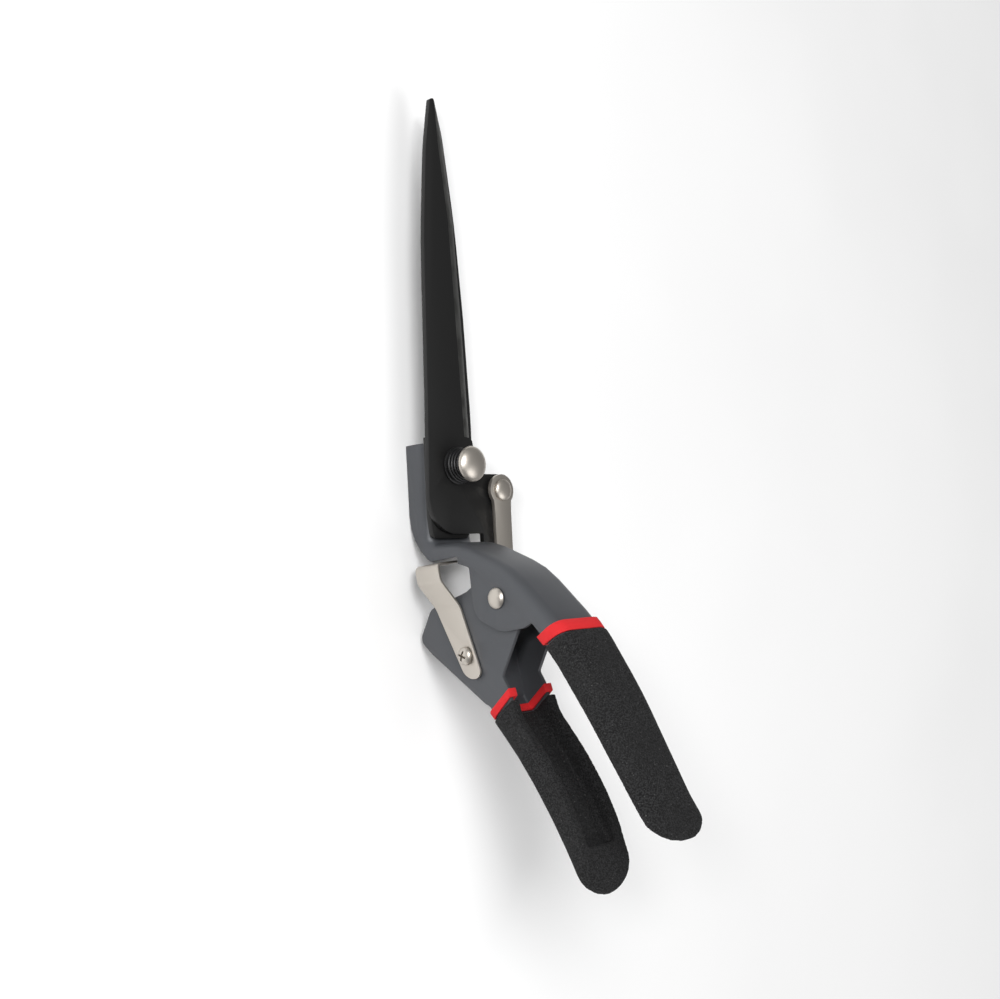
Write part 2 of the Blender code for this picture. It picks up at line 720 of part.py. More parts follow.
def make_link(metal):
    """The strap from the ear: flat at the top, then turned on edge to reach the lever's side."""
    half = LINK_WIDTH / 2.0
    foot_half = half - 0.2
    top_radius = 6.6
    steps = 16
    outline = []
    for step in range(steps + 1):
        angle = math.radians(-42.0) + math.radians(264.0) * step / steps
        outline.append(Vector((top_radius * math.cos(angle), EAR[1] + top_radius * math.sin(angle))))
    outline.append(Vector((-half, EAR[1] - 9.0)))
    for step in range(13):
        angle = math.pi + math.pi * step / 12
        outline.append(Vector((foot_half * math.cos(angle), LINK_FOOT[0] + foot_half * math.sin(angle))))
    outline.append(Vector((half, EAR[1] - 9.0)))
    holes = [circle((0.0, EAR[1]), EAR_SHANK + GAP, 20),
             circle((0.0, LINK_FOOT[0]), FOOT_SHOULDER + EYE_CLEARANCE, 24)]
    link = flat_slab("link", [outline] + holes, -LINK_THICK / 2.0, LINK_THICK / 2.0)
    edit = bmesh.new()
    edit.from_mesh(link.data)
    start, stop = LINK_TWIST
    slices = 12
    for index in range(slices + 1):
        level = start + (stop - start) * index / slices
        bmesh.ops.bisect_plane(edit, geom=edit.verts[:] + edit.edges[:] + edit.faces[:], dist=1e-7,
                               plane_co=(0.0, level * MM, 0.0), plane_no=(0.0, 1.0, 0.0))
    for vert in edit.verts:
        share = smooth((vert.co.y / MM - start) / (stop - start))
        turn = math.pi / 2.0 * share
        wide, thick = vert.co.x / MM, vert.co.z / MM
        across = EAR[0] + (LINK_SIDE - EAR[0]) * share
        level = LINK_LEVEL + (LINK_FOOT[1] - LINK_LEVEL) * share
        vert.co.x = (across + wide * math.cos(turn) + thick * math.sin(turn)) * MM
        vert.co.z = (level - wide * math.sin(turn) + thick * math.cos(turn)) * MM
    bmesh.ops.triangulate(edit, faces=[face for face in edit.faces if len(face.verts) > 4])
    bmesh.ops.recalc_face_normals(edit, faces=edit.faces)
    edit.to_mesh(link.data)
    edit.free()
    keep(link, collection, metal)
    low = LINK_LEVEL - LINK_THICK / 2.0
    keep(ring("link_washer", "Z", GAP, low - GAP, EAR, EAR_SHANK + GAP, 5.0), collection, metal)
    head = LINK_LEVEL + LINK_THICK / 2.0 + GAP
    under = -BLADE_SHEET - GAP
    profile = [(under - 1.5, 0.0), (under - 1.4, 1.8), (under - 0.8, 3.4), (under, 3.8), (under, EAR_SHANK),
               (head, EAR_SHANK), (head, 4.5), (head + 0.7, 4.4), (head + 1.3, 3.6), (head + 1.7, 2.2),
               (head + 1.85, 0.0)]
    keep(turned("link_rivet", profile, "Z", EAR, 24), collection, metal)
    inside = LEVER_WIDTH / 2.0 - LEVER_SHEET - GAP
    seat = LEVER_WIDTH / 2.0 + GAP
    cap = LINK_SIDE + LINK_THICK / 2.0 + 3.5 * GAP
    profile = [(inside - 1.2, 0.0), (inside - 1.1, 2.2), (inside, 3.2), (inside, FOOT_SHANK),
               (seat, FOOT_SHANK), (seat, FOOT_SHOULDER), (cap, FOOT_SHOULDER), (cap, 4.3),
               (cap + 0.7, 4.1), (cap + 1.4, 2.4), (cap + 1.6, 0.0)]
    keep(turned("link_foot_rivet", profile, "X", LINK_FOOT, 24), collection, metal)


# The lever's pivot.

def make_lever_pivot(metal, black):
    """The rivet through frame and lever, the bush between the side plates, and the opening spring."""
    seat = FRAME_WIDTH / 2.0 + GAP
    near = [(-seat - 1.9, 0.0), (-seat - 1.75, 1.9), (-seat - 1.0, 3.6), (-seat, 4.15), (-seat, LEVER_SHANK)]
    far = [(-along, radius) for along, radius in reversed(near)]
    keep(turned("lever_rivet", near + far, "X", LEVER_PIVOT, 28), collection, metal)
    inside = LEVER_WIDTH / 2.0 - LEVER_SHEET - GAP
    keep(ring("lever_bush", "X", -inside, inside, LEVER_PIVOT, LEVER_SHANK + GAP, 4.4), collection, metal)
    turns = 6.25
    coil = 4.4 + GAP + SPRING_WIRE + 0.3
    y, z = LEVER_PIVOT
    points = [(-SPRING_HALF, -76.0, 20.6), (-SPRING_HALF, -66.0, 22.4)]
    start = math.radians(222.0)
    steps = round(turns * 16)
    for step in range(steps + 1):
        angle = start - 2.0 * math.pi * turns * step / steps
        across = -SPRING_HALF + 2.0 * SPRING_HALF * step / steps
        points.append((across, y + coil * math.cos(angle), z + coil * math.sin(angle)))
    points += [(SPRING_HALF, -51.4, 41.4), (SPRING_HALF, -60.5, 52.0)]
    keep(wire("return_spring", points, SPRING_WIRE), collection, black)


# The latch.

def make_latch(metal):
    """The strap that props the lever against the neck, with its screw, washer and nut."""
    foot = -9.7
    profile = rounded([(foot, 0.0, 0.0), (20.8, 0.0, 8.0), (31.6, 5.3, 4.0), (39.0, 3.8, 3.0),
                       (39.8, -7.9, 0.0)])
    outer = offset(profile, LATCH_THICK / 2.0)
    inner = offset(profile, -LATCH_THICK / 2.0)
    half = LATCH_WIDTH / 2.0
    latch = flat_slab("latch", [outer + list(reversed(inner))], -half, half)
    for vert in latch.data.vertices:
        if vert.co.x / MM < foot + 0.1:
            vert.co.z *= LATCH_FOOT_WIDTH / LATCH_WIDTH
        else:
            vert.co.z += LATCH_OFFSET * MM

    def at_foot(one, other):
        return max(one.x, other.x) < foot + 0.1 and abs(one.z - other.z) < 0.01 and abs(one.y - other.y) > 0.5

    round_corners(latch, at_foot, LATCH_FOOT_WIDTH / 2.0 - 0.4, 8)
    along = Vector((0.0, LATCH_LEAN.x, LATCH_LEAN.y)).normalized()
    out_side = Vector((-1.0, 0.0, 0.0))
    wide = Vector((0.0, LATCH_FOLD.x, LATCH_FOLD.y)).normalized()
    place = Matrix((
        (along.x, out_side.x, wide.x, -LATCH_FACE * MM),
        (along.y, out_side.y, wide.y, LATCH_PIVOT[0] * MM),
        (along.z, out_side.z, wide.z, LATCH_PIVOT[1] * MM),
        (0.0, 0.0, 0.0, 1.0),
    ))
    latch.data.transform(place)
    cut(latch, rod("latch_hole", "X", -20.0, -5.0, LATCH_PIVOT, SCREW_SHANK + GAP))
    keep(latch, collection, metal)
    head = LATCH_FACE + LATCH_THICK / 2.0 + GAP
    inside = LEVER_WIDTH / 2.0 - LEVER_SHEET - GAP
    profile = [(-head - 2.3, 0.0), (-head - 2.2, 1.5), (-head - 1.8, 2.6), (-head - 1.1, 3.3),
               (-head - 0.5, 3.5), (-head, 3.5), (-head, SCREW_SHANK), (-inside + 4.6, SCREW_SHANK),
               (-inside + 4.6, 0.0)]
    keep(turned("latch_screw", profile, "X", LATCH_PIVOT, 24), collection, metal)
    keep(ring("latch_washer", "X", -inside, -inside + 0.8, LATCH_PIVOT, SCREW_SHANK + GAP, 4.2),
         collection, metal)
    start = -inside + 0.8 + GAP
    keep(nut("latch_nut", "X", start, start + 2.8, LATCH_PIVOT, SCREW_SHANK + GAP, 3.9), collection, metal)


def stand_on_origin():
    """Move the parent empty so that the middle of the shears' underside is on the world origin."""
    bpy.context.view_layer.update()
    graph = bpy.context.evaluated_depsgraph_get()
    low = Vector((math.inf,) * 3)
    high = Vector((-math.inf,) * 3)
    for item in collection.objects:
        if item.type != "MESH":
            continue
        shape = item.evaluated_get(graph)
        for vert in shape.data.vertices:
            spot = shape.matrix_world @ vert.co
            low = Vector(map(min, low, spot))
            high = Vector(map(max, high, spot))
    stand.location = Vector((-(low.x + high.x) / 2.0, -(low.y + high.y) / 2.0, -low.z))


def main():
    global collection, cutters, stand
    clear_scene()
    collection = new_collection("grass_shears")
    cutters = new_collection("cutters")
    stand = bpy.data.objects.new("shears_stand", None)
    collection.objects.link(stand)
    grey_paint = material("grey_paint", (0.075, 0.08, 0.085), 0.42, 0.0)
    blade_coat = material("blade_coat", (0.012, 0.012, 0.012), 0.45, 0.0)
    nickel = material("nickel", (0.55, 0.51, 0.46), 0.25, 1.0)
    black_steel = material("black_steel", (0.02, 0.02, 0.02), 0.4, 0.6)
    red_coat = material("red_coat", (0.62, 0.012, 0.015), 0.25, 0.0)
    foam = material("foam", (0.03, 0.03, 0.032), 0.9, 0.0)
    upper = Handle("upper", FRAME_CROWN, FRAME_HANDLE_EDGE, FRAME_WIDTH, FRAME_SHEET, FRAME_FOLD, 1.0,
                   UPPER_BAND_AT)
    lower = Handle("lower", LEVER_KEEL, LEVER_RIM, LEVER_WIDTH, LEVER_SHEET, LEVER_FOLD, -1.0, LOWER_BAND_AT)
    make_frame(upper, grey_paint)
    make_lever(lower, grey_paint)
    make_band(upper, UPPER_BAND_LENGTH, red_coat)
    make_band(lower, LOWER_BAND_LENGTH, red_coat)
    make_grip(upper, UPPER_BAND_LENGTH, UPPER_GRIP_ROUND, UPPER_NOSE, foam)
    make_grip(lower, LOWER_BAND_LENGTH, LOWER_GRIP_ROUND, LOWER_NOSE, foam)
    make_fixed_blade(blade_coat)
    make_moving_blade(blade_coat)
    make_pivot(nickel, black_steel)
    make_link(nickel)
    make_lever_pivot(nickel, black_steel)
    make_latch(nickel)
    stand_on_origin()


main()
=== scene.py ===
import json
import math

import bpy
from bpy.props import FloatProperty, FloatVectorProperty, IntProperty, PointerProperty
from bpy.types import Operator, Panel, PropertyGroup
from mathutils import Matrix, Vector

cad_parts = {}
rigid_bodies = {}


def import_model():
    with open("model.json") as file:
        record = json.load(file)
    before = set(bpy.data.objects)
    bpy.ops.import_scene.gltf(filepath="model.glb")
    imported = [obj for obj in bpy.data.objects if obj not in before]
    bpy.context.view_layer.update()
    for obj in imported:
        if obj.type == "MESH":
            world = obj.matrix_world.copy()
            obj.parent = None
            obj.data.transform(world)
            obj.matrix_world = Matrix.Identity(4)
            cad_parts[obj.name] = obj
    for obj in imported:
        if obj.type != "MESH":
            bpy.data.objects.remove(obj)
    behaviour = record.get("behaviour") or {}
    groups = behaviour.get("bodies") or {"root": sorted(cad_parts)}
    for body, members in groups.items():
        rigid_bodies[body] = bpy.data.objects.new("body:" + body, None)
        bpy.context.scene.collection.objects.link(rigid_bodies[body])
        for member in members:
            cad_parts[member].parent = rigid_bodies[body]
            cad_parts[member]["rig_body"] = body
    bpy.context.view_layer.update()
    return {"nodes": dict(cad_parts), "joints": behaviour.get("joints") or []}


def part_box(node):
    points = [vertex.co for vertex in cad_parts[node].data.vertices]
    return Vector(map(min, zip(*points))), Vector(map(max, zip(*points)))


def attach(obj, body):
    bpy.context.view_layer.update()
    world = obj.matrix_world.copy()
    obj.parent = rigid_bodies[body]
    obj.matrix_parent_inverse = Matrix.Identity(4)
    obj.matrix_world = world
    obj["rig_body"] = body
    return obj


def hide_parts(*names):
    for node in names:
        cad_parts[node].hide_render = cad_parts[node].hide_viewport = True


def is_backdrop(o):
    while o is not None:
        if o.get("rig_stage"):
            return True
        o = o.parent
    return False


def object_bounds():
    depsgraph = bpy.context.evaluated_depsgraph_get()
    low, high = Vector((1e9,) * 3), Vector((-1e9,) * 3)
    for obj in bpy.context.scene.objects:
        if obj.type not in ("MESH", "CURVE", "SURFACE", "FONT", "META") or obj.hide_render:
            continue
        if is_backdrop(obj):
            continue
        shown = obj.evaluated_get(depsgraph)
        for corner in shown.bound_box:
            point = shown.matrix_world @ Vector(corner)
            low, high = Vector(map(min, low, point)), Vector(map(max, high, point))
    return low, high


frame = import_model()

bl_info = {
    "name": "Grass Shears",
    "version": (1, 0, 0),
    "blender": (4, 5, 0),
    "location": "3D View > Sidebar > Shears",
    "description": "Builds one-hand grass shears on their packed frame",
    "category": "Add Mesh",
}

MM = 0.001
NODES = frame["nodes"]
PIVOT = Vector(next(j for j in frame["joints"] if j["name"] == "blade_hinge")["pos_m"])

# Sizes in metres, and angles in degrees, that the pieces share.
MERGE_DISTANCE = 1e-6
FLAT_ANGLE = 0.4
SHEET_FOLD = 32.0
GROUND_FOLD = 14.0
RIVET_FOLD = 40.0
RING_EDGE = 0.0002
BAND_EDGE = 0.0004
RIVET_EDGE = 0.0001
CROWN_FLAT = 0.00012
BOLT_SHANK = 3.0 * MM
BOLT_HEAD = 4.0 * MM
SCREW_SHANK = 2.0 * MM
SCREW_HEAD = 2.3 * MM
SCREW_TURN = 20.0
GROUND_START = 11.0 * MM
FLOOR_DROP = 0.2 * MM
FLOOR_SIZE = 6.0
SENSOR_WIDTH = 36.0


# Settings.

class ShearsSizes(PropertyGroup):
    """Sizes of the finishing work on the shears' pieces."""
    sheet_edge: FloatProperty(
        name="Sheet Edge", description="Rounding along the edges of the painted sheet metal",
        default=0.00028, min=0.0, unit="LENGTH")
    blade_edge: FloatProperty(
        name="Blade Edge", description="Rounding along the blades' edges",
        default=0.00012, min=0.0, unit="LENGTH")
    strap_edge: FloatProperty(
        name="Strap Edge", description="Rounding along the edges of the plated straps",
        default=0.0003, min=0.0, unit="LENGTH")
    foam_cell: FloatProperty(
        name="Foam Cell", description="Size of the faces that the grips' foam is made of",
        default=0.0007, min=0.0004, unit="LENGTH")
    foam_rounds: IntProperty(
        name="Foam Rounds", description="Passes of smoothing that round the foam's edges",
        default=16, min=0)
    cross_width: FloatProperty(
        name="Cross Width", description="Width of a slot of the latch screw's cross",
        default=0.0009, min=0.0, unit="LENGTH")
    cross_depth: FloatProperty(
        name="Cross Depth", description="Depth of the latch screw's cross",
        default=0.0019, min=0.0, unit="LENGTH")


class ShearsColours(PropertyGroup):
    """Colours of the shears' finishes, unused by a finish whose name the frame brings already."""
    paint: FloatVectorProperty(
        name="Grey Paint", description="Paint on the frame and the lever",
        default=(0.060, 0.062, 0.063), min=0.0, max=1.0, subtype="COLOR")
    coat: FloatVectorProperty(
        name="Blade Coat", description="Black coating on the blades",
        default=(0.0045, 0.0045, 0.0045), min=0.0, max=1.0, subtype="COLOR")
    ground: FloatVectorProperty(
        name="Ground Steel", description="Bare steel on the ground edge of the moving blade",
        default=(0.16, 0.16, 0.155), min=0.0, max=1.0, subtype="COLOR")
    nickel: FloatVectorProperty(
        name="Nickel", description="Plating on the rivets, the link and the latch",
        default=(0.39, 0.335, 0.28), min=0.0, max=1.0, subtype="COLOR")
    spring: FloatVectorProperty(
        name="Spring Steel", description="Blackened steel of the springs",
        default=(0.03, 0.03, 0.031), min=0.0, max=1.0, subtype="COLOR")
    band: FloatVectorProperty(
        name="Red Coat", description="Dipped red coat in front of each grip",
        default=(0.45, 0.006, 0.008), min=0.0, max=1.0, subtype="COLOR")
    foam: FloatVectorProperty(
        name="Foam", description="Black foam on the grips",
        default=(0.021, 0.021, 0.0218), min=0.0, max=1.0, subtype="COLOR")
    floor: FloatVectorProperty(
        name="Floor", description="Pale floor under the shears",
        default=(0.93, 0.93, 0.93), min=0.0, max=1.0, subtype="COLOR")


class ShearsView(PropertyGroup):
    """Where the camera stands, and how strong the lamps are."""
    around: FloatProperty(
        name="Around", description="The camera's climb from the left side towards overhead",
        default=0.785, subtype="ANGLE")
    along: FloatProperty(
        name="Along", description="The camera's lean along the blades",
        default=-0.058, subtype="ANGLE")
    roll: FloatProperty(
        name="Roll", description="The camera's roll",
        default=-0.053, subtype="ANGLE")
    distance: FloatProperty(
        name="Distance", description="From the blades' pivot to the camera",
        default=0.524894, unit="LENGTH")
    shift: FloatVectorProperty(
        name="Shift", description="Where the camera looks, beside the blades' pivot",
        default=(0.017336, -0.013534), size=2, unit="LENGTH")
    lens: FloatProperty(
        name="Lens", description="The camera's focal length in millimetres",
        default=46.83, min=1.0)
    key: FloatProperty(
        name="Key Lamp", description="Power of the large lamp above the left side",
        default=50.0, min=0.0, unit="POWER")
    fill: FloatProperty(
        name="Fill Lamp", description="Power of the wide lamp overhead",
        default=34.0, min=0.0, unit="POWER")
    front: FloatProperty(
        name="Front Lamp", description="Power of the small lamp beside the camera",
        default=1.7, min=0.0, unit="POWER")
    air: FloatProperty(
        name="Air", description="Strength of the light from all round",
        default=0.18, min=0.0)


# Working on pieces.

def body_name(node):
    """The body that a CAD node rides on."""
    return NODES[node]["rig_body"]


def only(piece):
    """Select one piece and nothing else."""
    if bpy.context.object is not None and bpy.context.object.mode != "OBJECT":
        bpy.ops.object.mode_set(mode="OBJECT")
    bpy.ops.object.select_all(action="DESELECT")
    piece.select_set(True)
    bpy.context.view_layer.objects.active = piece


def editing(piece):
    """Open one piece in edit mode with all of it selected."""
    only(piece)
    bpy.ops.object.mode_set(mode="EDIT")
    bpy.ops.mesh.select_all(action="SELECT")


def shaped(piece, name, kind, **settings):
    """Add a modifier to a piece and apply it."""
    only(piece)
    modifier = piece.modifiers.new(name, kind)
    for setting, value in settings.items():
        setattr(modifier, setting, value)
    bpy.ops.object.modifier_apply(modifier=name)


def taken(node, name):
    """A merged copy of a CAD node, as a piece of its own."""
    piece = bpy.data.objects.new(name, NODES[node].data.copy())
    bpy.context.scene.collection.objects.link(piece)
    piece.data.name = name
    piece.data.materials.clear()
    editing(piece)
    bpy.ops.mesh.remove_doubles(threshold=MERGE_DISTANCE)
    bpy.ops.object.mode_set(mode="OBJECT")
    return piece


def smooth(piece, degrees):
    """Shade a piece smooth, apart from its sharp corners."""
    only(piece)
    bpy.ops.object.shade_smooth_by_angle(angle=math.radians(degrees))


def sheet_piece(node, name, edge, degrees=SHEET_FOLD):
    """A CAD node's shape with its flats made whole and its edges rounded."""
    piece = taken(node, name)
    editing(piece)
    bpy.ops.mesh.dissolve_limited(angle_limit=math.radians(FLAT_ANGLE))
    bpy.ops.object.mode_set(mode="OBJECT")
    shaped(piece, "Round Edges", "BEVEL", width=edge, segments=2, limit_method="ANGLE",
           angle_limit=math.radians(degrees), use_clamp_overlap=True)
    smooth(piece, 30.0)
    return piece


def wire_piece(node, name):
    """A spring's wire with its facets smoothed away."""
    piece = taken(node, name)
    editing(piece)
    bpy.ops.mesh.tris_convert_to_quads(face_threshold=math.radians(60.0),
                                       shape_threshold=math.radians(60.0))
    bpy.ops.object.mode_set(mode="OBJECT")
    shaped(piece, "Round Wire", "SUBSURF", levels=1, render_levels=1)
    smooth(piece, 60.0)
    return piece


def turned_piece(name, centre, axis, profile, sides=56, edge=0.00012):
    """A solid turned about X or Z: its profile holds places along the axis and radii, from one end."""
    bpy.ops.object.select_all(action="DESELECT")
    start, radius = profile[0]
    bpy.ops.mesh.primitive_circle_add(vertices=sides, radius=radius, fill_type="NGON",
                                      location=(0.0, 0.0, start))
    piece = bpy.context.object
    piece.name = name
    piece.data.name = name
    editing(piece)
    for along, wide in profile[1:]:
        bpy.ops.mesh.extrude_region_move(TRANSFORM_OT_translate={"value": (0.0, 0.0, along - start)})
        share = wide / radius
        bpy.ops.transform.resize(value=(share, share, 1.0), center_override=(0.0, 0.0, along))
        start, radius = along, wide
    bpy.ops.mesh.select_all(action="SELECT")
    bpy.ops.mesh.normals_make_consistent(inside=False)
    bpy.ops.object.mode_set(mode="OBJECT")
    if axis == "X":
        piece.rotation_euler = (0.0, math.radians(90.0), 0.0)
    piece.location = Matrix.Rotation(piece.rotation_euler.y, 3, "Y") @ piece.location + Vector(centre)
    only(piece)
    bpy.ops.object.transform_apply(location=True, rotation=True, scale=True)
    shaped(piece, "Round Corners", "BEVEL", width=edge, segments=2, limit_method="ANGLE",
           angle_limit=math.radians(38.0), use_clamp_overlap=True)
    smooth(piece, 34.0)
    return piece


def domed(base, top, radius, steps=12):
    """The profile of a dome from its rim to a small flat at its crown."""
    points = []
    for step in range(steps + 1):
        angle = 0.5 * math.pi * step / steps
        points.append((base + (top - base) * math.sin(angle), max(radius * math.cos(angle), CROWN_FLAT)))
    return points


def dressed(piece, nodes, slot, *materials):
    """Give a piece its materials and its body, and hide the CAD nodes that it stands for."""
    piece.data.materials.clear()
    for made in materials:
        piece.data.materials.append(made)
    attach(piece, body_name(nodes[0]))
    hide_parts(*nodes)
    return piece


# Effects that the finishes share.

def effect(name, inputs, outputs):
    """A new node group with named inputs and outputs, and its input and output nodes."""
    group = bpy.data.node_groups.new(name, "ShaderNodeTree")
    for label, kind, value in inputs:
        socket = group.interface.new_socket(name=label, in_out="INPUT", socket_type="NodeSocket" + kind)
        socket.default_value = value
    for label in outputs:
        group.interface.new_socket(name=label, in_out="OUTPUT", socket_type="NodeSocketFloat")
    return group, group.nodes.new("NodeGroupInput"), group.nodes.new("NodeGroupOutput")


def added(tree, kind, place, label="", **settings):
    """A node at a place in the tree, with its settings."""
    node = tree.nodes.new("ShaderNode" + kind)
    node.location = place
    node.label = label
    for setting, value in settings.items():
        setattr(node, setting, value)
    return node


def math_node(tree, operation, place, first, second=None, clamp=False):
    """A math node whose two values are sockets or numbers."""
    node = added(tree, "Math", place, operation=operation, use_clamp=clamp)
    for socket, value in zip(node.inputs, (first, second)):
        if isinstance(value, bpy.types.NodeSocket):
            tree.links.new(value, socket)
        elif value is not None:
            socket.default_value = value
    return node.outputs[0]


def ramp(tree, value, low, high, place, to_low=0.0, to_high=1.0):
    """A smooth step from one level to another."""
    node = added(tree, "MapRange", place, interpolation_type="SMOOTHSTEP")
    for label, number in (("From Min", low), ("From Max", high), ("To Min", to_low), ("To Max", to_high)):
        if isinstance(number, bpy.types.NodeSocket):
            tree.links.new(number, node.inputs[label])
        else:
            node.inputs[label].default_value = number
    tree.links.new(value, node.inputs["Value"])
    return node.outputs["Result"]


def noise(tree, vector, scale, detail, place):
    """A noise texture over a vector, at a scale that is a socket or a number."""
    node = added(tree, "TexNoise", place)
    node.inputs["Detail"].default_value = detail
    tree.links.new(vector, node.inputs["Vector"])
    if isinstance(scale, bpy.types.NodeSocket):
        tree.links.new(scale, node.inputs["Scale"])
    else:
        node.inputs["Scale"].default_value = scale
    return node.outputs["Fac"]


def edge_wear_effect():
    """Finish rubbed thin along edges, in patches."""
    group, given, result = effect(
        "Edge Wear", [("Width", "Float", 0.0005), ("Patches", "Float", 180.0), ("Amount", "Float", 0.5)],
        ["Mask"])
    bevel = added(group, "Bevel", (-600, 100), samples=6)
    group.links.new(given.outputs["Width"], bevel.inputs["Radius"])
    facing = added(group, "NewGeometry", (-600, -100))
    dot = added(group, "VectorMath", (-400, 0), operation="DOT_PRODUCT")
    group.links.new(bevel.outputs["Normal"], dot.inputs[0])
    group.links.new(facing.outputs["Normal"], dot.inputs[1])
    turn = math_node(group, "SUBTRACT", (-200, 0), 1.0, dot.outputs["Value"])
    near = ramp(group, turn, 0.01, 0.16, (0, 0))
    place = added(group, "TexCoord", (-600, -350))
    patches = ramp(group, noise(group, place.outputs["Object"], given.outputs["Patches"], 4.0, (-400, -350)),
                   0.42, 0.62, (-200, -350))
    worn = math_node(group, "MULTIPLY", (200, 0), near, patches)
    group.links.new(math_node(group, "MULTIPLY", (400, 0), worn, given.outputs["Amount"], clamp=True),
                    result.inputs["Mask"])
    return group


def fleck_effect():
    """Small scattered specks, as of dust or grit."""
    group, given, result = effect(
        "Flecks", [("Scale", "Float", 900.0), ("Level", "Float", 0.7), ("Amount", "Float", 0.5)], ["Mask"])
    place = added(group, "TexCoord", (-600, 0))
    fine = noise(group, place.outputs["Object"], given.outputs["Scale"], 1.0, (-400, 0))
    above = math_node(group, "ADD", (-400, -250), given.outputs["Level"], 0.05)
    specks = ramp(group, fine, given.outputs["Level"], above, (-200, 0))
    group.links.new(math_node(group, "MULTIPLY", (0, 0), specks, given.outputs["Amount"], clamp=True),
                    result.inputs["Mask"])
    return group


def scratch_effect():
    """Fine lines that run one way, thick in some places and absent in others."""
    group, given, result = effect(
        "Scratches", [("Run", "Vector", (1.0, 0.05, 1.0)), ("Scale", "Float", 500.0),
                      ("Thinness", "Float", 0.012), ("Amount", "Float", 0.5)], ["Mask"])
    place = added(group, "TexCoord", (-800, 0))
    run = added(group, "VectorMath", (-600, 0), operation="MULTIPLY")
    group.links.new(place.outputs["Object"], run.inputs[0])
    group.links.new(given.outputs["Run"], run.inputs[1])
    lines = noise(group, run.outputs["Vector"], given.outputs["Scale"], 2.0, (-400, 0))
    off = math_node(group, "ABSOLUTE", (-50, 0), math_node(group, "SUBTRACT", (-200, 0), lines, 0.5))
    thin = ramp(group, off, 0.0, given.outputs["Thinness"], (100, 0), 1.0, 0.0)
    broad = noise(group, place.outputs["Object"], 90.0, 3.0, (-400, -300))
    where = ramp(group, broad, 0.5, 0.68, (-200, -300))
    both = math_node(group, "MULTIPLY", (300, 0), thin, where)
    group.links.new(math_node(group, "MULTIPLY", (450, 0), both, given.outputs["Amount"], clamp=True),
                    result.inputs["Mask"])
    return group


def grain_effect():
    """Unevenness at two scales, for a bump and for a change of tone."""
    group, given, result = effect(
        "Grain", [("Scale", "Float", 1500.0), ("Broad", "Float", 60.0)], ["Height", "Tone"])
    place = added(group, "TexCoord", (-600, 0))
    group.links.new(noise(group, place.outputs["Object"], given.outputs["Scale"], 3.0, (-300, 100)),
                    result.inputs["Height"])
    broad = noise(group, place.outputs["Object"], given.outputs["Broad"], 3.0, (-300, -200))
    group.links.new(ramp(group, broad, 0.3, 0.7, (-100, -200)), result.inputs["Tone"])
    return group


EFFECTS = {"Edge Wear": edge_wear_effect, "Flecks": fleck_effect, "Scratches": scratch_effect,
           "Grain": grain_effect}


def placed(tree, name, place, **values):
    """One of the shared effects, placed in a material with its own values."""
    node = tree.nodes.new("ShaderNodeGroup")
    node.node_tree = bpy.data.node_groups.get(name) or EFFECTS[name]()
    node.location = place
    node.label = name
    for label, value in values.items():
        node.inputs[label].default_value = value
    return node


def tinted(tree, mask, under, over, place):
    """One colour over another where a mask is."""
    mix = added(tree, "Mix", place, data_type="RGBA")
    tree.links.new(mask, mix.inputs["Factor"])
    for socket, colour in ((mix.inputs["A"], under), (mix.inputs["B"], over)):
        if isinstance(colour, bpy.types.NodeSocket):
            tree.links.new(colour, socket)
        else:
            socket.default_value = (*colour[:3], 1.0)
    return mix.outputs["Result"]


def finish_material(name, colour, rough, metal=0.0, tone=0.08, worn=None, wear=None, flecks=None,
                    fleck_colour=None, scratches=None, scratch_colour=None, grain=None, pit_shade=None, bump=0.1,
                    depth=0.0001, shader=None):
    """A finish: its colours, its roughness from smooth to rough places, and how the effects lie in it.

    A material that has this name already, made here or brought by the frame, is given back as it is.
    """
    known = bpy.data.materials.get(name)
    if known is not None:
        return known
    made = bpy.data.materials.new(name)
    made.use_nodes = True
    made.diffuse_color = (*colour, 1.0)
    tree = made.node_tree
    principled = tree.nodes["Principled BSDF"]
    principled.inputs["Metallic"].default_value = metal
    for label, value in (shader or {}).items():
        principled.inputs[label].default_value = value
    unevenness = placed(tree, "Grain", (-1100, 0), **(grain or {}))
    darker = tuple(part * (1.0 - tone) for part in colour)
    lighter = tuple(min(part * (1.0 + tone), 1.0) for part in colour)
    shown = tinted(tree, unevenness.outputs["Tone"], darker, lighter, (-850, 200))
    roughness = ramp(tree, unevenness.outputs["Tone"], 0.0, 1.0, (-600, -200), rough[0], rough[1])
    # Painted shade: the colour turns darker where the grain's bump is low, in its pits.
    if pit_shade is not None:
        pit_shade_mask = ramp(tree, unevenness.outputs["Height"], 0.40, 0.60, (-850, 0), 1.0, 0.0)
        shown = tinted(tree, pit_shade_mask, shown, pit_shade, (-750, 200))
    if wear is not None:
        mask = placed(tree, "Edge Wear", (-1100, 300), **wear).outputs["Mask"]
        shown = tinted(tree, mask, shown, worn, (-650, 200))
    if flecks is not None:
        mask = placed(tree, "Flecks", (-1100, 500), **flecks).outputs["Mask"]
        shown = tinted(tree, mask, shown, fleck_colour, (-450, 200))
    if scratches is not None:
        mask = placed(tree, "Scratches", (-1100, 700), **scratches).outputs["Mask"]
        shown = tinted(tree, mask, shown, scratch_colour, (-250, 200))
        roughness = math_node(tree, "ADD", (-250, -200), roughness,
                              math_node(tree, "MULTIPLY", (-400, -350), mask, 0.12), clamp=True)
    tree.links.new(shown, principled.inputs["Base Color"])
    tree.links.new(roughness, principled.inputs["Roughness"])
    relief = added(tree, "Bump", (-250, -450))
    relief.inputs["Strength"].default_value = bump
    relief.inputs["Distance"].default_value = depth
    tree.links.new(unevenness.outputs["Height"], relief.inputs["Height"])
    tree.links.new(relief.outputs["Normal"], principled.inputs["Normal"])
    return made


# The finishes.

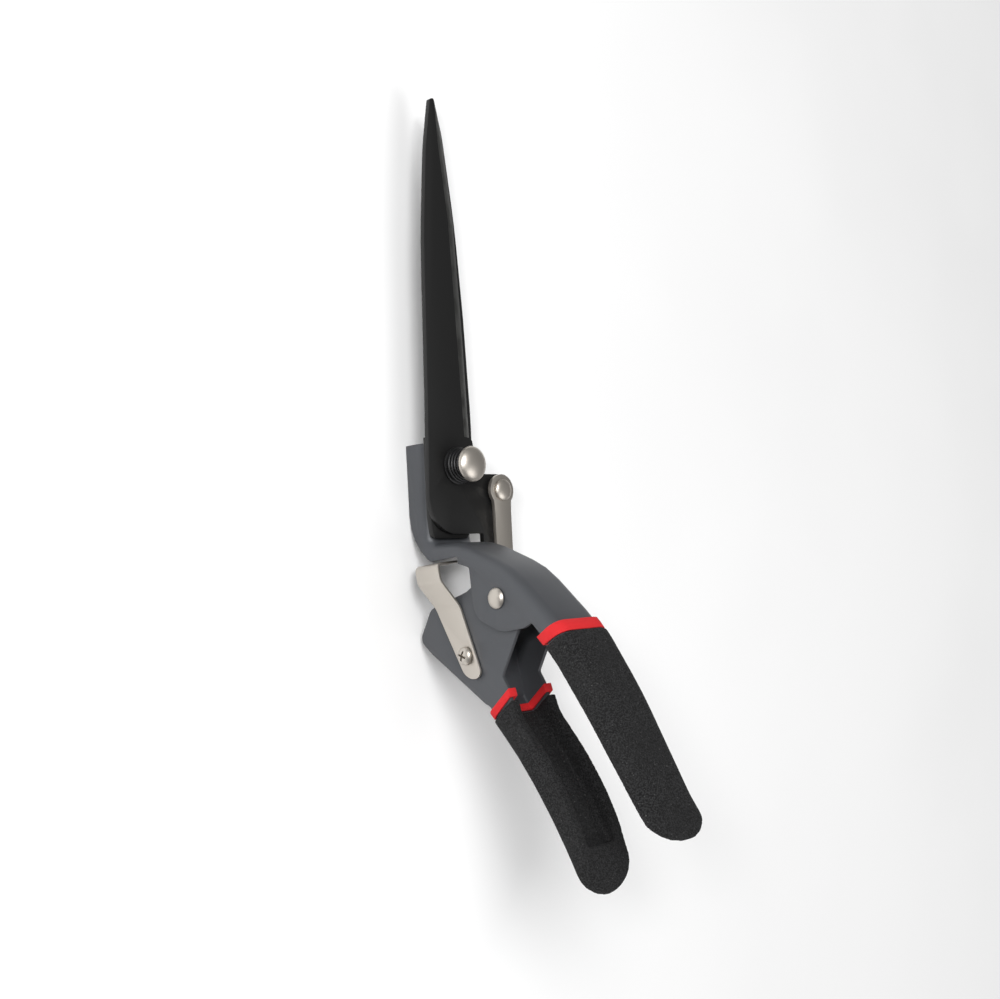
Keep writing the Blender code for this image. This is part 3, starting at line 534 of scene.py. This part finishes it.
def grey_paint():
    """Half-gloss grey paint with a fine orange peel, thin along the folds."""
    return finish_material(
        "grey_paint", tuple(bpy.context.scene.shears_colours.paint), (0.22, 0.34), tone=0.09,
        worn=(0.20, 0.205, 0.21), wear={"Width": 0.0006, "Patches": 260.0, "Amount": 0.45},
        flecks={"Scale": 1500.0, "Level": 0.71, "Amount": 0.35}, fleck_colour=(0.30, 0.30, 0.31),
        scratches={"Run": (1.0, 0.12, 0.12), "Scale": 420.0, "Thinness": 0.010, "Amount": 0.20},
        scratch_colour=(0.18, 0.18, 0.185), grain={"Scale": 900.0, "Broad": 45.0}, bump=0.22)


def blade_coat():
    """Satin black coating with faint lengthwise scratches and specks."""
    return finish_material(
        "blade_coat", tuple(bpy.context.scene.shears_colours.coat), (0.34, 0.48), tone=0.16,
        worn=(0.10, 0.10, 0.10), wear={"Width": 0.0004, "Patches": 160.0, "Amount": 0.7},
        flecks={"Scale": 1300.0, "Level": 0.72, "Amount": 0.45}, fleck_colour=(0.13, 0.13, 0.13),
        scratches={"Run": (1.0, 0.05, 1.0), "Scale": 520.0, "Thinness": 0.012, "Amount": 0.30},
        scratch_colour=(0.055, 0.055, 0.055), grain={"Scale": 1400.0, "Broad": 35.0}, bump=0.18)


def ground_steel():
    """Steel ground across the edge, with fine grinding lines."""
    return finish_material(
        "ground_steel", tuple(bpy.context.scene.shears_colours.ground), (0.30, 0.46), metal=1.0, tone=0.14,
        worn=(0.42, 0.42, 0.41), wear={"Width": 0.0003, "Patches": 400.0, "Amount": 0.5},
        scratches={"Run": (0.10, 1.0, 1.0), "Scale": 1900.0, "Thinness": 0.05, "Amount": 0.5},
        scratch_colour=(0.30, 0.30, 0.29), grain={"Scale": 2400.0, "Broad": 120.0}, bump=0.2)


def nickel():
    """Warm nickel plating with soft streaks and handling marks."""
    return finish_material(
        "nickel", tuple(bpy.context.scene.shears_colours.nickel), (0.15, 0.30), metal=1.0, tone=0.12,
        worn=(0.78, 0.74, 0.69), wear={"Width": 0.0006, "Patches": 300.0, "Amount": 0.6},
        flecks={"Scale": 1100.0, "Level": 0.73, "Amount": 0.5}, fleck_colour=(0.22, 0.20, 0.18),
        scratches={"Run": (0.3, 1.0, 0.3), "Scale": 700.0, "Thinness": 0.02, "Amount": 0.35},
        scratch_colour=(0.40, 0.37, 0.33), grain={"Scale": 700.0, "Broad": 110.0}, bump=0.12)


def spring_steel():
    """Oil-blackened spring wire, bright where the turns rub."""
    return finish_material(
        "spring_steel", tuple(bpy.context.scene.shears_colours.spring), (0.28, 0.42), metal=0.6, tone=0.15,
        flecks={"Scale": 900.0, "Level": 0.66, "Amount": 0.4}, fleck_colour=(0.12, 0.115, 0.11),
        grain={"Scale": 1600.0, "Broad": 200.0}, bump=0.12)


def red_coat():
    """Glossy dipped red coat, slightly wavy."""
    return finish_material(
        "red_coat", tuple(bpy.context.scene.shears_colours.band), (0.16, 0.28), tone=0.10,
        worn=(0.62, 0.05, 0.05), wear={"Width": 0.0005, "Patches": 200.0, "Amount": 0.4},
        flecks={"Scale": 900.0, "Level": 0.72, "Amount": 0.3}, fleck_colour=(0.20, 0.01, 0.01),
        grain={"Scale": 500.0, "Broad": 140.0}, bump=0.16,
        shader={"Coat Weight": 0.35, "Coat Roughness": 0.08})


def grip_foam():
    """Matt black foam: an open grain with painted shade darkening its low pits, and a few light specks of
    grit.
    """
    return finish_material(
        "grip_foam", tuple(bpy.context.scene.shears_colours.foam), (0.78, 0.94), tone=0.18,
        # The darker colour given here is painted shade for the foam's low pits.
        pit_shade=(0.005, 0.005, 0.0052), worn=(0.034, 0.034, 0.035),
        wear={"Width": 0.0015, "Patches": 90.0, "Amount": 0.6},
        flecks={"Scale": 1400.0, "Level": 0.70, "Amount": 0.45}, fleck_colour=(0.12, 0.12, 0.118),
        grain={"Scale": 1700.0, "Broad": 55.0}, bump=0.9, depth=0.0004,
        shader={"Specular IOR Level": 0.3})


def pale_floor():
    """Plain pale floor with the least unevenness."""
    return finish_material(
        "pale_floor", tuple(bpy.context.scene.shears_colours.floor), (0.75, 0.9), tone=0.01,
        grain={"Scale": 300.0, "Broad": 4.0}, bump=0.02)


# Operators, one for each group of pieces.

class SHEARS_OT_frame(Operator):
    """Finish the grey channel that carries the upper grip and the fixed blade"""
    bl_idname = "shears.frame"
    bl_label = "Frame"

    def execute(self, context):
        piece = sheet_piece("frame", "frame_channel", context.scene.shears_sizes.sheet_edge)
        dressed(piece, ["frame"], "grey_paint", grey_paint())
        return {"FINISHED"}


class SHEARS_OT_lever(Operator):
    """Finish the grey lever that the hand squeezes"""
    bl_idname = "shears.lever"
    bl_label = "Lever"

    def execute(self, context):
        piece = sheet_piece("lever", "lever_channel", context.scene.shears_sizes.sheet_edge)
        dressed(piece, ["lever"], "grey_paint", grey_paint())
        return {"FINISHED"}


class SHEARS_OT_blades(Operator):
    """Finish the two black blades and the moving blade's bare ground edge"""
    bl_idname = "shears.blades"
    bl_label = "Blades"

    def execute(self, context):
        edge = context.scene.shears_sizes.blade_edge
        fixed = sheet_piece("fixed_blade", "fixed_blade_plate", edge, GROUND_FOLD)
        dressed(fixed, ["fixed_blade"], "blade_coat", blade_coat())
        moving = sheet_piece("moving_blade", "moving_blade_plate", edge, GROUND_FOLD)
        dressed(moving, ["moving_blade"], "blade_coat", blade_coat(), ground_steel())
        bare = [face for face in moving.data.polygons
                if 0.12 < face.normal.x < 0.6 and face.normal.z > 0.8
                and face.center.y > PIVOT.y + GROUND_START]
        if not bare:
            raise RuntimeError("the moving blade has no ground edge")
        for face in bare:
            face.material_index = 1
        return {"FINISHED"}


class SHEARS_OT_bands(Operator):
    """Finish the red bands in front of the grips"""
    bl_idname = "shears.bands"
    bl_label = "Red Bands"

    def execute(self, context):
        for node, name in (("upper_grip_band", "upper_red_band"), ("lower_grip_band", "lower_red_band")):
            piece = sheet_piece(node, name, BAND_EDGE)
            dressed(piece, [node], "red_coat", red_coat())
        return {"FINISHED"}


class SHEARS_OT_grips(Operator):
    """Round the black foam over both handles"""
    bl_idname = "shears.grips"
    bl_label = "Foam Grips"

    def execute(self, context):
        sizes = context.scene.shears_sizes
        for node, name in (("upper_grip", "upper_foam_grip"), ("lower_grip", "lower_foam_grip")):
            piece = taken(node, name)
            shaped(piece, "Foam Cells", "REMESH", mode="VOXEL", voxel_size=sizes.foam_cell)
            shaped(piece, "Soften", "SMOOTH", factor=0.5, iterations=sizes.foam_rounds)
            smooth(piece, 60.0)
            dressed(piece, [node], "foam", grip_foam())
        return {"FINISHED"}


class SHEARS_OT_pivot(Operator):
    """Turn the domed pivot bolt, and finish its spring, washers and nut"""
    bl_idname = "shears.pivot"
    bl_label = "Blade Pivot"

    def execute(self, context):
        low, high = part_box("pivot_bolt")
        centre = ((low.x + high.x) / 2.0, (low.y + high.y) / 2.0, 0.0)
        wide = (high.x - low.x) / 2.0
        rim = high.z - BOLT_HEAD
        profile = [(low.z, BOLT_SHANK - 0.5 * MM), (low.z + 0.5 * MM, BOLT_SHANK), (rim, BOLT_SHANK),
                   (rim, wide - 0.5 * MM), (rim + 0.25 * MM, wide - 0.1 * MM)]
        profile += domed(rim + 0.6 * MM, high.z, wide, 16)
        bolt = turned_piece("pivot_dome_bolt", centre, "Z", profile, 72)
        dressed(bolt, ["pivot_bolt"], "nickel", nickel())
        dressed(wire_piece("pivot_spring", "pivot_coil"), ["pivot_spring"], "black_steel", spring_steel())
        dressed(sheet_piece("pivot_washer", "shown_pivot_washer", RING_EDGE), ["pivot_washer"],
                "black_steel", spring_steel())
        for node in ("pivot_nut_washer", "pivot_nut"):
            piece = sheet_piece(node, "shown_" + node, RING_EDGE)
            dressed(piece, [node], "nickel", nickel())
        return {"FINISHED"}


class SHEARS_OT_rivets(Operator):
    """Round and smooth the rivets of the blade, the link and the lever"""
    bl_idname = "shears.rivets"
    bl_label = "Rivets"

    def execute(self, context):
        for node in ("blade_rivet_1", "blade_rivet_2", "link_rivet", "link_foot_rivet", "lever_rivet"):
            piece = sheet_piece(node, "shown_" + node, RIVET_EDGE, RIVET_FOLD)
            shaped(piece, "Soften", "SUBSURF", levels=1, render_levels=1)
            smooth(piece, 40.0)
            dressed(piece, [node], "nickel", nickel())
        return {"FINISHED"}


class SHEARS_OT_link(Operator):
    """Finish the twisted link strap and its washer"""
    bl_idname = "shears.link"
    bl_label = "Link"

    def execute(self, context):
        edge = context.scene.shears_sizes.strap_edge
        dressed(sheet_piece("link", "link_strap", edge), ["link"], "nickel", nickel())
        washer = sheet_piece("link_washer", "shown_link_washer", RING_EDGE)
        dressed(washer, ["link_washer"], "nickel", nickel())
        return {"FINISHED"}


class SHEARS_OT_latch(Operator):
    """Finish the folded latch strap with its cross-head screw, washer and nut"""
    bl_idname = "shears.latch"
    bl_label = "Latch"

    def execute(self, context):
        sizes = context.scene.shears_sizes
        dressed(sheet_piece("latch", "latch_strap", sizes.strap_edge), ["latch"], "nickel", nickel())
        for node in ("latch_washer", "latch_nut"):
            dressed(sheet_piece(node, "shown_" + node, RING_EDGE), [node], "nickel", nickel())
        low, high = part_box("latch_screw")
        centre = (0.0, (low.y + high.y) / 2.0, (low.z + high.z) / 2.0)
        wide = (high.y - low.y) / 2.0
        under = low.x + SCREW_HEAD
        profile = [(high.x, SCREW_SHANK - 0.4 * MM), (high.x - 0.4 * MM, SCREW_SHANK), (under, SCREW_SHANK),
                   (under, wide - 0.15 * MM), (under - 0.15 * MM, wide)]
        profile += [(under - 0.5 * MM - rise, across)
                    for rise, across in domed(0.0, 1.8 * MM, wide, 12)]
        piece = turned_piece("latch_cross_screw", centre, "X", profile, 48)
        for turn in (SCREW_TURN, SCREW_TURN + 90.0):
            bpy.ops.object.select_all(action="DESELECT")
            bpy.ops.mesh.primitive_cube_add(size=1.0, location=(low.x, centre[1], centre[2]),
                                            rotation=(math.radians(turn), 0.0, 0.0),
                                            scale=(2.0 * sizes.cross_depth, wide * 1.15, sizes.cross_width))
            cutter = context.object
            bpy.ops.object.transform_apply(location=True, rotation=True, scale=True)
            shaped(piece, "Cross", "BOOLEAN", operation="DIFFERENCE", solver="EXACT", object=cutter)
            bpy.data.objects.remove(cutter)
        smooth(piece, 34.0)
        dressed(piece, ["latch_screw"], "nickel", nickel())
        return {"FINISHED"}


class SHEARS_OT_springs(Operator):
    """Finish the lever's opening spring and the bush that it turns on"""
    bl_idname = "shears.springs"
    bl_label = "Opening Spring"

    def execute(self, context):
        dressed(wire_piece("return_spring", "opening_coil"), ["return_spring"], "black_steel", spring_steel())
        bush = sheet_piece("lever_bush", "shown_lever_bush", RING_EDGE)
        dressed(bush, ["lever_bush"], "black_steel", spring_steel())
        return {"FINISHED"}


class SHEARS_OT_stage(Operator):
    """Set the floor, the lamps and the camera"""
    bl_idname = "shears.stage"
    bl_label = "Stage"

    def execute(self, context):
        scene = context.scene
        view = scene.shears_view
        low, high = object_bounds()
        bpy.ops.object.select_all(action="DESELECT")
        bpy.ops.mesh.primitive_plane_add(size=FLOOR_SIZE, location=(0.0, 0.0, low.z - FLOOR_DROP))
        floor = context.object
        floor.name = "floor"
        bpy.ops.object.transform_apply(location=True, rotation=True, scale=True)
        floor.data.materials.append(pale_floor())
        floor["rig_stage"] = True

        back = Vector((-math.cos(view.around) * math.cos(view.along), math.sin(view.along),
                       math.sin(view.around) * math.cos(view.along)))
        level = Vector((0.0, 1.0, 0.0)).cross(back).normalized()
        rise = back.cross(level)
        across = math.cos(view.roll) * level + math.sin(view.roll) * rise
        up = math.cos(view.roll) * rise - math.sin(view.roll) * level
        spot = PIVOT + across * view.shift[0] + up * view.shift[1] + back * view.distance
        bpy.ops.object.camera_add()
        camera = context.object
        camera.name = "camera"
        camera.data.lens = view.lens
        camera.data.sensor_width = SENSOR_WIDTH
        camera.data.clip_start = 0.01
        camera.matrix_world = Matrix.Translation(spot) @ Matrix((across, up, back)).transposed().to_4x4()
        scene.camera = camera

        for name, aim, size, power in (
                ("key_lamp", Vector((-1.25, 0.80, 2.15)), 1.3, view.key),
                ("fill_lamp", Vector((0.75, -1.7, 2.5)), 2.0, view.fill),
                ("front_lamp", 0.75 * back + 0.10 * up - 0.08 * across, 0.11, view.front)):
            bpy.ops.object.light_add(type="AREA", location=PIVOT + aim)
            lamp = context.object
            lamp.name = name
            lamp.data.size = size
            lamp.data.energy = power
            lamp.rotation_euler = aim.to_track_quat("Z", "Y").to_euler()

        world = bpy.data.worlds.new("studio_air")
        world.use_nodes = True
        world.node_tree.nodes["Background"].inputs["Color"].default_value = (1.0, 1.0, 1.0, 1.0)
        world.node_tree.nodes["Background"].inputs["Strength"].default_value = view.air
        scene.world = world
        scene.view_settings.view_transform = "Standard"
        return {"FINISHED"}


class SHEARS_PT_pieces(Panel):
    """The shears' settings, and a button for each group of pieces"""
    bl_label = "Grass Shears"
    bl_idname = "SHEARS_PT_pieces"
    bl_space_type = "VIEW_3D"
    bl_region_type = "UI"
    bl_category = "Shears"

    def draw(self, context):
        for settings in (context.scene.shears_sizes, context.scene.shears_colours, context.scene.shears_view):
            column = self.layout.column(align=True)
            for name in settings.__annotations__:
                column.prop(settings, name)
        for operator in OPERATORS:
            self.layout.operator(operator.bl_idname)


GROUPS = {"shears_sizes": ShearsSizes, "shears_colours": ShearsColours, "shears_view": ShearsView}
OPERATORS = (SHEARS_OT_frame, SHEARS_OT_lever, SHEARS_OT_blades, SHEARS_OT_bands, SHEARS_OT_grips,
             SHEARS_OT_pivot, SHEARS_OT_rivets, SHEARS_OT_link, SHEARS_OT_latch, SHEARS_OT_springs,
             SHEARS_OT_stage)


def register():
    for kind in (*GROUPS.values(), *OPERATORS, SHEARS_PT_pieces):
        bpy.utils.register_class(kind)
    for name, kind in GROUPS.items():
        setattr(bpy.types.Scene, name, PointerProperty(type=kind))


def unregister():
    for name in GROUPS:
        delattr(bpy.types.Scene, name)
    for kind in reversed((*GROUPS.values(), *OPERATORS, SHEARS_PT_pieces)):
        bpy.utils.unregister_class(kind)


def main():
    """Build every group of pieces in order, then the stage."""
    register()
    bpy.ops.shears.frame()
    bpy.ops.shears.lever()
    bpy.ops.shears.blades()
    bpy.ops.shears.bands()
    bpy.ops.shears.grips()
    bpy.ops.shears.pivot()
    bpy.ops.shears.rivets()
    bpy.ops.shears.link()
    bpy.ops.shears.latch()
    bpy.ops.shears.springs()
    bpy.ops.shears.stage()


if __name__ == "__main__":
    main()
